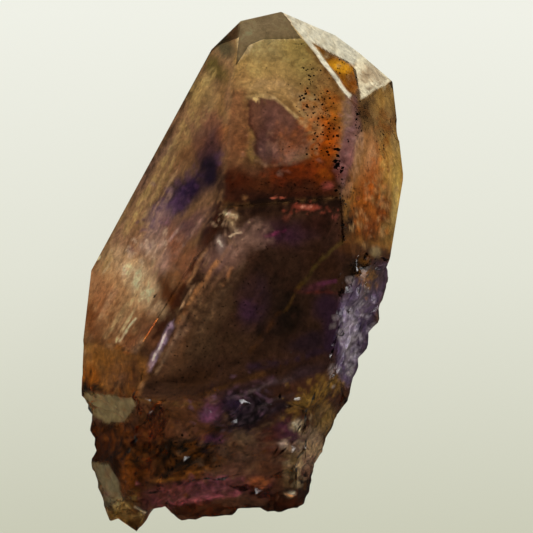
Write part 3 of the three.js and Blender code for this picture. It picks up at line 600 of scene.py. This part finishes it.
# Quartz etched for a short time: satin, but still mostly clear
def satin_quartz():
    return quartz("satin_quartz", front_power=1.4, contrast=0.35, veins=0.3, rough=0.3,
                  clear=0.8, pit_size=0.6, pit_strength=0.25, fleck=0.5)


# Quartz rubbed dull on its back: still clear, but it blurs what lies behind
def worn_quartz():
    return quartz("worn_quartz", front_power=1.0, contrast=0.2, veins=0.1, rough=0.5,
                  clear=1.0, pit_size=0.9, pit_strength=0.3)


def waves(points, count, shortest, longest, seed):
    """A smooth random height: a sum of plane waves of random direction, length and phase."""
    random = np.random.default_rng(seed)
    ways = random.normal(size=(count, 3))
    ways /= np.linalg.norm(ways, axis=1, keepdims=True)
    lengths = shortest * (longest / shortest) ** random.random(count)
    phases = random.random(count) * 2 * np.pi
    heights = np.sin(points @ (ways / lengths[:, None] * 2 * np.pi).T + phases) * lengths
    return heights.sum(1) / np.sqrt((lengths ** 2).sum() / 2)


def lattice_noise(points, seed):
    """Smooth noise from -1 to 1 on places of any dimension: random heights on whole-number places,
    blended between them."""
    cell = np.floor(points).astype(np.int64)
    part = points - cell
    part = part * part * (3 - 2 * part)
    total = np.zeros(len(points))
    size = points.shape[1]
    table = np.random.default_rng(seed).random(4096) * 2 - 1
    primes = np.array([1, 57, 389])[:size]
    for corner in np.ndindex(*(2,) * size):
        step = np.array(corner)
        share = np.where(step, part, 1 - part).prod(1)
        total += share * table[((cell + step) * primes).sum(1) % 4096]
    return total


def on_plan(points):
    """Places in metres as steps of the plan grid, right and down."""
    across = (points[:, :2] - GRID_MIDDLE) / STEP
    return across * [1, -1] + GRID_STEPS / 2


def from_plan(spots):
    """Steps of the plan grid as places in metres."""
    return (np.asarray(spots, float) - GRID_STEPS / 2) * [1, -1] * STEP + GRID_MIDDLE


def to_line(spots, line):
    """The distance from each spot to a line of points."""
    nearest = np.full(len(spots), np.inf)
    for start, end in zip(np.array(line[:-1], float), np.array(line[1:], float)):
        way = end - start
        share = np.clip((spots - start) @ way / (way @ way), 0, 1)
        nearest = np.minimum(nearest, np.linalg.norm(spots - start - share[:, None] * way, axis=1))
    return nearest


def in_patch(spots, corners):
    """Whether each spot lies in a many-sided area: how often a ray from it crosses the sides."""
    inside = np.zeros(len(spots), bool)
    for start, end in zip(corners, corners[1:] + corners[:1]):
        crosses = (start[1] > spots[:, 1]) != (end[1] > spots[:, 1])
        fall = (spots[:, 1] - start[1]) / ((end[1] - start[1]) or 1)
        inside ^= crosses & (spots[:, 0] < start[0] + fall * (end[0] - start[0]))
    return inside


def turned(degrees):
    """The matrix that turns rows of places on the plan grid."""
    angle = np.radians(degrees)
    return np.array([[np.cos(angle), np.sin(angle)], [-np.sin(angle), np.cos(angle)]])


def blob_mask(spots, middle, halves, turn, soft):
    """1 inside a turned ellipse and 0 outside, with a soft edge."""
    away = np.linalg.norm((spots - middle) @ turned(-turn) / halves, axis=1)
    return 1 - smooth_step(away, 1 - soft, 1 + soft)


def painted(points):
    """The stain and painted-light colour of each point, laid on from the broad zones to the fine ones.

    Noise pushes each place about first, more for the broad zones than for the fine strokes.
    """
    spots = on_plan(points)
    deep = np.column_stack([spots, points[:, 2] / STEP])
    push = [np.column_stack([lattice_noise(deep / width, SEED + k) for k in (0, 1)])
            for width in (26, 9, 3.5)]
    broad = spots + 5.0 * push[0] + 2.4 * push[1] + 1.0 * push[2]
    fine = spots + 1.2 * push[1] + 0.5 * push[2]
    ragged = fine + 1.3 * np.column_stack(
        [lattice_noise(deep / 1.9, SEED + k) for k in (2, 3)])
    gaps = lattice_noise(deep / 5.5, SEED + 4)
    colours = np.tile(linear(GROUND)[:3], (len(points), 1))
    for kind, *shape, colour, strength in PAINT:
        if kind == BLOB:
            near = broad if min(shape[1]) > 5 else fine
            mask = blob_mask(near, *shape)
        elif kind == STROKE:
            line, width, soft = shape
            mask = 1 - smooth_step(to_line(fine, line) / width, 1 - soft, 1 + soft)
            mask *= 0.25 + 0.75 * smooth_step(gaps, -0.45, 0.25)
        else:
            corners, soft = shape
            edge = to_line(fine, corners + corners[:1])
            side = np.where(in_patch(fine, corners), 1, -1)
            mask = smooth_step(side * edge, -soft, soft)
        colours += (mask * strength)[:, None] * (np.array(linear(colour)[:3]) - colours)
    random = np.random.default_rng(SEED)
    for middle, halves, turn, count, small, large, colour, strength in SPRINKLES:
        spread = random.normal(size=(count, 2)) * SPOT_SPREAD * np.array(halves)
        places = spread @ turned(turn) + middle
        sizes = small * (large / small) ** random.random(count)
        mask = np.zeros(len(points))
        for place, size in zip(places, sizes):
            near = np.flatnonzero((np.abs(ragged - place) < 1.5 * size).all(1))
            away = np.linalg.norm(ragged[near] - place, axis=1) / size
            mask[near] = np.maximum(mask[near], 1 - smooth_step(away, 0.5, 1.5))
        colours += (mask * strength)[:, None] * (np.array(linear(colour)[:3]) - colours)
    return np.minimum(colours * PAINT_GAIN, 1)


def welded(mesh):
    """The CAD mesh's points and triangles with doubled points merged."""
    points = np.zeros(len(mesh.vertices) * 3)
    mesh.vertices.foreach_get("co", points)
    mesh.calc_loop_triangles()
    faces = np.zeros(len(mesh.loop_triangles) * 3, int)
    mesh.loop_triangles.foreach_get("vertices", faces)
    rounded = np.round(points.reshape(-1, 3) / WELD).astype(np.int64)
    _, first, back = np.unique(rounded, axis=0, return_index=True, return_inverse=True)
    faces = back.reshape(-1)[faces].reshape(-1, 3)
    whole = (faces[:, 0] != faces[:, 1]) & (faces[:, 1] != faces[:, 2]) & (faces[:, 2] != faces[:, 0])
    return points.reshape(-1, 3)[first], faces[whole]


def halved(points, faces, longest, passes):
    """Splits each edge that is longer than its place allows, and joins the halves up again.

    An edge is split by its own length alone, so two triangles always agree on their shared edge.
    """
    for _ in range(passes):
        sides = np.sort(faces[:, [[0, 1], [1, 2], [2, 0]]].reshape(-1, 2), axis=1)
        keys, back = np.unique(sides[:, 0] * len(points) + sides[:, 1], return_inverse=True)
        start, end = points[keys // len(points)], points[keys % len(points)]
        long = np.linalg.norm(end - start, axis=1) > longest((start + end) / 2)
        if not long.any():
            break
        half = np.full(len(keys), -1)
        half[long] = len(points) + np.arange(long.sum())
        points = np.vstack([points, (start[long] + end[long]) / 2])
        faces = rejoined(faces, half[back.reshape(-1)].reshape(-1, 3))
    return points, faces


def rejoined(faces, half):
    """The triangles that come of triangles whose sides have a half-way point where half isn't -1."""
    count = (half >= 0).sum(1)
    done = [faces[count == 0]]
    for turn in range(3):
        f, h = np.roll(faces, -turn, axis=1), np.roll(half, -turn, axis=1)
        a, b, c = f.T
        ab, bc, ca = h.T
        one = (count == 1) & (ab >= 0)
        two = (count == 2) & (ca < 0)
        done += [np.stack(t, 1)[one] for t in ((a, ab, c), (ab, b, c))]
        done += [np.stack(t, 1)[two] for t in ((ab, b, bc), (a, ab, bc), (a, bc, c))]
    a, b, c = faces.T
    ab, bc, ca = half.T
    three = count == 3
    done += [np.stack(t, 1)[three] for t in ((a, ab, ca), (ab, b, bc), (ca, bc, c), (ab, bc, ca))]
    return np.vstack(done)


def outward(points, faces):
    """Each point's normal: the sum of its triangles' normals, by area."""
    corners = points[faces]
    normals = np.cross(corners[:, 1] - corners[:, 0], corners[:, 2] - corners[:, 0])
    total = np.zeros_like(points)
    for k in range(3):
        np.add.at(total, faces[:, k], normals)
    return total / np.maximum(np.linalg.norm(total, axis=1, keepdims=True), 1e-12)


def smooth_step(value, low, high):
    """0 below low, 1 above high, and a smooth rise between."""
    share = np.clip((value - low) / (high - low), 0, 1)
    return share * share * (3 - 2 * share)


# Where the break begins, in millimetres, as on the solid: below a wavy line across the crystal, and
# beyond a slanting line on its right side, up to a height on the plan
BASE_LINE, BASE_SLANT, BASE_WAVE, BASE_BENDS, BASE_FADE = -13.5, -0.06, 0.9, 0.55, 1.6
SIDE_LINE, SIDE_SLANT, SIDE_FADE, SIDE_TOP, SIDE_TOP_FADE = 10.4, 0.12, 1.2, 2.2, 2.0


def broken_share(points):
    """1 on the snapped base and the frosted right side, 0 on the grown faces."""
    x, y = (points[:, :2] / MM).T
    line = BASE_LINE + BASE_SLANT * x - BASE_WAVE * np.sin(x * BASE_BENDS)
    base = 1 - smooth_step(y, line - BASE_FADE, line)
    side = smooth_step(x - SIDE_SLANT * y, SIDE_LINE, SIDE_LINE + SIDE_FADE)
    side *= 1 - smooth_step(y, SIDE_TOP - SIDE_TOP_FADE, SIDE_TOP)
    return np.maximum(base, side)


def mesh_object(name, points, faces, materials):
    """A mesh object from arrays, with its place in its mesh."""
    mesh = bpy.data.meshes.new(name)
    mesh.from_pydata(points.tolist(), [], faces.tolist())
    mesh.update()
    for material in materials:
        mesh.materials.append(material)
    made = bpy.data.objects.new(name, mesh)
    bpy.context.scene.collection.objects.link(made)
    return made


def set_values(mesh, name, kind, domain, values):
    """Stores one value or colour for each point or face under a name."""
    layer = mesh.attributes.new(name, kind, domain)
    field = "color" if kind == "FLOAT_COLOR" else "value"
    layer.data.foreach_set(field, np.ascontiguousarray(values, np.float32).ravel())


# Faces with a finish of their own, as plan areas
BROW = [(281, 10), (350, 101), (356, 84), (352, 66), (362, 50), (330, 20)]
PIT = [(312, 43), (351, 63), (359, 86), (356, 96), (349, 93)]
TEMPLE = [(352, 64), (362, 50), (395, 78), (361, 100), (357, 84)]
BAND_PATCH = [(84, 393), (133, 397), (139, 402), (124, 421), (108, 423), (84, 418)]
FOOT_PATCH = [(80, 462), (108, 464), (118, 478), (121, 498), (104, 508), (86, 500)]
FROST = [(340, 298), (366, 266), (395, 262), (395, 300), (375, 380), (345, 388), (336, 372)]

# The brow leans to the right more than this, the flat face it rests on looks down more than this,
# and the worn faces of the back lie beyond this place towards the tip
BROW_LEAN = 0.25
REST_RISE = -0.8
TIP_BEGINS = 17 * MM


def finishes(points, faces, normals):
    """The finish of each face: 0 grown, 1 snapped, 2 frosted, 3 etched, 4 etched but clear,
    5 worn dull."""
    middle = points[faces].mean(1)
    spots = on_plan(middle)
    up = normals[:, 2] > FACING_UP
    finish = np.where(broken_share(middle) > 0.5, 1, 0)
    finish[up & in_patch(spots, FROST)] = 2
    etched = in_patch(spots, BROW) & ~in_patch(spots, PIT) & (normals[:, 0] > BROW_LEAN)
    etched |= in_patch(spots, TEMPLE)
    finish[up & etched] = 3
    finish[up & (in_patch(spots, BAND_PATCH) | in_patch(spots, FOOT_PATCH))] = 4
    finish[~up & (normals[:, 2] > REST_RISE) & (middle[:, 1] > TIP_BEGINS)] = 5
    return finish


# The longest edges of the crystal's mesh: beside fine strokes, on the rest of the front, and on the
# broken and the grown parts of the low sides and back
EDGE_FINE, EDGE_FRONT, EDGE_BREAK, EDGE_BACK = 0.33 * MM, 0.74 * MM, 1.1 * MM, 2.0 * MM
BACK_HEIGHT = 8 * MM
SPLIT_PASSES = 9

# The fine relief of the break: the heights of its waves and of its grit, the shortest and longest
# wave and the size of the grit, in millimetres, and the height where it has faded in from the rest
# face
WAVE_HEIGHT, GRIT_HEIGHT = 0.10, 0.05
WAVE_COUNT, WAVE_SHORTEST, WAVE_LONGEST, GRIT_SIZE = 40, 0.9, 3.0, 0.5
FADE_LOW, FADE_HIGH = 0.3, 2.5


def beside_strokes():
    """Which squares of the plan grid lie beside a stroke, and so need a finer mesh."""
    rows, columns = np.mgrid[0:GRID_STEPS, 0:GRID_STEPS]
    squares = np.column_stack([columns.ravel(), rows.ravel()]).astype(float)
    beside = np.zeros(len(squares), bool)
    for kind, *shape, _, _ in PAINT:
        if kind == STROKE:
            beside |= to_line(squares, shape[0]) < shape[1] + 2
    return beside.reshape(GRID_STEPS, GRID_STEPS)


def crystal():
    """The crystal: the solid's own faces, cut finer, with the break roughened a second time."""
    points, faces = welded(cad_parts[NODE].data)

    beside = beside_strokes()

    def longest(places):
        squares = np.clip(on_plan(places).astype(int), 0, GRID_STEPS - 1)
        front = np.where(beside[squares[:, 1], squares[:, 0]], EDGE_FINE, EDGE_FRONT)
        sides = np.where(broken_share(places) > 0.02, EDGE_BREAK, EDGE_BACK)
        return np.where(places[:, 2] < BACK_HEIGHT, sides, front)

    points, faces = halved(points, faces, longest, SPLIT_PASSES)
    share = broken_share(points) * smooth_step(points[:, 2] / MM, FADE_LOW, FADE_HIGH)
    swell = waves(points / MM, WAVE_COUNT, WAVE_SHORTEST, WAVE_LONGEST, SEED)
    grit = np.abs(lattice_noise(points / (GRIT_SIZE * MM), SEED))
    relief = (WAVE_HEIGHT * swell + GRIT_HEIGHT * grit) * MM
    points = points + outward(points, faces) * (share * relief)[:, None]
    points[:, 2] = np.maximum(points[:, 2], 0)
    made = mesh_object("crystal", points, faces,
                       [grown_quartz(), snapped_quartz(), frosted_quartz(), etched_quartz(),
                        satin_quartz(), worn_quartz()])
    mesh = made.data
    normals = np.zeros(len(faces) * 3, np.float32)
    mesh.polygons.foreach_get("normal", normals)
    normals = normals.reshape(-1, 3)
    mesh.polygons.foreach_set("material_index", finishes(points, faces, normals))
    colours = np.column_stack([painted(points), np.ones(len(points))])
    set_values(mesh, "stain_and_painted_light", "FLOAT_COLOR", "POINT", colours)
    set_values(mesh, "back", "FLOAT", "FACE", normals[:, 2] < FACING_UP)
    mesh.shade_smooth()
    mesh.set_sharp_from_angle(angle=np.radians(SHARP_DEGREES))
    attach(made, "root")
    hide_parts(NODE)
    print("crystal:", len(faces), "triangles")
    return points, faces


# A cloud's spread as a share of its half sizes, the height that rays start from, the steepest face
# that has specks, as its normal's rise, and the greatest depth of a speck under the surface
SPOT_SPREAD, SPECK_SPREAD = 0.6, 0.55
ABOVE_ALL = 0.1
SPECK_SLOPE = 0.15
SPECK_DEPTH = 0.4 * MM

# Specks of iron ore just under the surface: middle, half sizes and turn of each cloud on the plan,
# how many, and their smallest and largest half size in steps
SPECKS = [
    ((327, 118), (15, 30), -10, 90, 0.6, 2.3),
    ((322, 150), (16, 26), 5, 60, 0.5, 2.2),
    ((336, 156), (5, 22), 0, 16, 1.6, 3.8),
    ((306, 100), (12, 18), 0, 20, 1.0, 2.9),
    ((304, 68), (3, 5), 0, 6, 0.8, 1.8),
    ((298, 45), (7, 5), 20, 8, 0.5, 1.4),
    ((288, 155), (20, 12), 0, 26, 0.4, 1.8),
    ((266, 90), (40, 70), 0, 60, 0.35, 0.9),
    ((285, 185), (50, 12), 0, 60, 0.4, 1.2),
    ((362, 112), (7, 20), 8, 90, 0.5, 2.3),
    ((318, 82), (10, 22), -35, 34, 0.6, 1.8),
    ((384, 136), (5, 16), 0, 30, 0.6, 2.2),
    ((349, 205), (9, 18), 8, 60, 0.5, 1.8),
    ((340, 178), (4, 14), 0, 16, 0.8, 2.4),
    ((300, 190), (40, 10), 0, 60, 0.4, 1.5),
    ((345, 228), (10, 14), 0, 50, 0.4, 1.4),
    ((366, 165), (5, 16), 8, 40, 0.3, 1.0),
    ((384, 148), (5, 12), 0, 18, 0.5, 1.6),
    ((352, 196), (10, 10), 0, 20, 0.4, 1.2),
    ((340, 66), (16, 14), 30, 30, 0.5, 1.6),
    ((374, 78), (12, 13), 0, 60, 0.4, 1.2),
    ((245, 300), (60, 70), 25, 200, 0.5, 1.1),
    ((200, 350), (40, 34), 25, 120, 0.5, 1.1),
    ((165, 385), (30, 18), 0, 60, 0.5, 1.1),
    ((112, 372), (26, 22), 0, 60, 0.3, 0.9),
    ((186, 455), (34, 20), -6, 130, 0.4, 2.2),
    ((220, 448), (10, 6), 0, 16, 0.6, 2.0),
    ((156, 296), (1.5, 1.5), 0, 3, 1.4, 2.0),
    ((150, 260), (60, 70), -30, 40, 0.3, 0.8),
    ((110, 445), (24, 16), 0, 40, 0.3, 1.0),
    ((300, 400), (30, 20), -30, 50, 0.3, 0.9),
]


def specks(points, faces):
    """Small flattened grains, one mesh: each an eight-sided grain with its own half sizes and turn,
    set a little way under the surface that lies above its place on the plan."""
    random = np.random.default_rng(SEED)
    tree = BVHTree.FromPolygons(points.tolist(), faces.tolist())
    places, sizes = [], []
    for middle, halves, turn, count, small, large in SPECKS:
        spread = random.normal(size=(count, 2)) * SPECK_SPREAD * np.array(halves)
        half = small * (large / small) ** (random.random(count) ** 1.6) * STEP
        for spot, size in zip(from_plan(spread @ turned(turn) + middle), half):
            hit, normal, _, _ = tree.ray_cast((*spot, ABOVE_ALL), (0, 0, -1))
            if hit is not None and normal.z > SPECK_SLOPE:
                depth = size + random.random() * SPECK_DEPTH
                places.append(np.array(hit) - np.array(normal) * depth)
                sizes.append(size)
    places, sizes = np.array(places), np.array(sizes)
    ends = np.vstack([np.eye(3), -np.eye(3)])
    sides = np.array([[0, 1, 2], [1, 3, 2], [3, 4, 2], [4, 0, 2],
                      [1, 0, 5], [3, 1, 5], [4, 3, 5], [0, 4, 5]])
    turns, _ = np.linalg.qr(random.normal(size=(len(places), 3, 3)))
    turns *= np.sign(np.linalg.det(turns))[:, None, None]
    grain = ends * (0.55 + 0.6 * random.random((len(places), 6, 1)))
    corners = places[:, None] + np.einsum("nij,nkj->nki", turns, grain) * sizes[:, None, None]
    quads = sides + 6 * np.arange(len(places))[:, None, None]
    made = mesh_object("iron_specks", corners.reshape(-1, 3), quads.reshape(-1, 3), [iron_ore()])
    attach(made, "root")
    print("specks:", len(places))


# Goethite, an iron ore that grew as tiny grains: earthy brown-black and dull
def iron_ore():
    material, tree = new_material("iron_ore")
    place = add(tree, "ShaderNodeTexCoord").outputs["Object"]
    noise = add(tree, "ShaderNodeTexNoise", {"Scale": 1 / (2.5 * MM)}, {"Vector": place})
    colour = mix_colour(tree, noise.outputs[0], linear("#0a0705"), linear("#24120a"))
    shader = add(tree, "ShaderNodeBsdfPrincipled", {"Roughness": 0.7}, {"Base Color": colour})
    add(tree, "ShaderNodeOutputMaterial", None, {"Surface": shader.outputs[0]})
    return material


# Half the side of the surface, how far it lies under the crystal, and how far its shade reaches
FLOOR_HALF = 0.6
FLOOR_DROP = 0.05 * MM
SHADE_REACH = 0.03


def surface():
    """The pale surface that the crystal lies on, lit from within like a light table."""
    corners = np.array([[-1, -1, 0], [1, -1, 0], [1, 1, 0], [-1, 1, 0]])
    points = corners * FLOOR_HALF - [0, 0, FLOOR_DROP]
    material, tree = new_material("pale_surface")
    place = add(tree, "ShaderNodeTexCoord").outputs["Object"]
    split = add(tree, "ShaderNodeSeparateXYZ", None, {0: place})
    height = add(tree, "ShaderNodeMapRange", {"From Min": -SHADE_REACH, "From Max": SHADE_REACH},
                 {"Value": split.outputs["Y"]})
    ramp = add(tree, "ShaderNodeValToRGB", None, {"Fac": height.outputs[0]})
    ramp.color_ramp.elements[0].color = linear("#cccdb9")
    ramp.color_ramp.elements[1].color = linear("#f1f2e8")
    middle = ramp.color_ramp.elements.new(0.5)
    middle.color = linear("#e3e4d6")
    glow = add(tree, "ShaderNodeEmission", {"Strength": 0.97}, {"Color": ramp.outputs[0]})
    cloth = add(tree, "ShaderNodeBsdfDiffuse", {"Color": linear("#2c2c28")})
    both = add(tree, "ShaderNodeAddShader", None, {0: glow.outputs[0], 1: cloth.outputs[0]})
    add(tree, "ShaderNodeOutputMaterial", None, {"Surface": both.outputs[0]})
    floor = mesh_object("pale_surface", points, np.array([[0, 1, 2], [0, 2, 3]]), [material])
    floor.visible_glossy = False


def soft_light(name, place, aim, size, power):
    """A square soft light at a place, turned to a point."""
    lamp = bpy.data.lights.new(name, "AREA")
    lamp.size = size
    lamp.energy = power
    made = bpy.data.objects.new(name, lamp)
    made.location = place
    made.rotation_euler = (Vector(aim) - Vector(place)).to_track_quat("-Z", "Y").to_euler()
    bpy.context.scene.collection.objects.link(made)


def lights():
    """A very dim room, and one soft light from the upper right for the matt faces."""
    world = bpy.data.worlds.new("dim_room")
    world.use_nodes = True
    back = world.node_tree.nodes["Background"]
    back.inputs["Color"].default_value = linear("#fff8ee")
    back.inputs["Strength"].default_value = 0.02
    bpy.context.scene.world = world
    soft_light("key", (0.22, 0.2, 0.26), (0, 0, 0.01), 0.24, 1.5)


def camera():
    """A camera high above, looking straight down on the plan grid."""
    lens = bpy.data.cameras.new("camera")
    lens.sensor_width = SENSOR_WIDTH
    lens.lens = SENSOR_WIDTH * (CAMERA_HEIGHT - PICTURE_LEVEL * SIZE[2]) / PICTURE_SIDE
    made = bpy.data.objects.new("camera", lens)
    made.location = (*GRID_MIDDLE, CAMERA_HEIGHT)
    bpy.context.scene.collection.objects.link(made)
    bpy.context.scene.camera = made


def picture_settings():
    """Plain colours, and enough bounces for light to find its way through the crystal."""
    scene = bpy.context.scene
    scene.view_settings.view_transform = "Standard"
    scene.cycles.max_bounces = 24
    scene.cycles.transmission_bounces = 20
    scene.cycles.transparent_max_bounces = 24
    scene.cycles.caustics_refractive = True
    scene.cycles.caustics_reflective = True


picture_settings()
camera()
surface()
lights()
specks(*crystal())
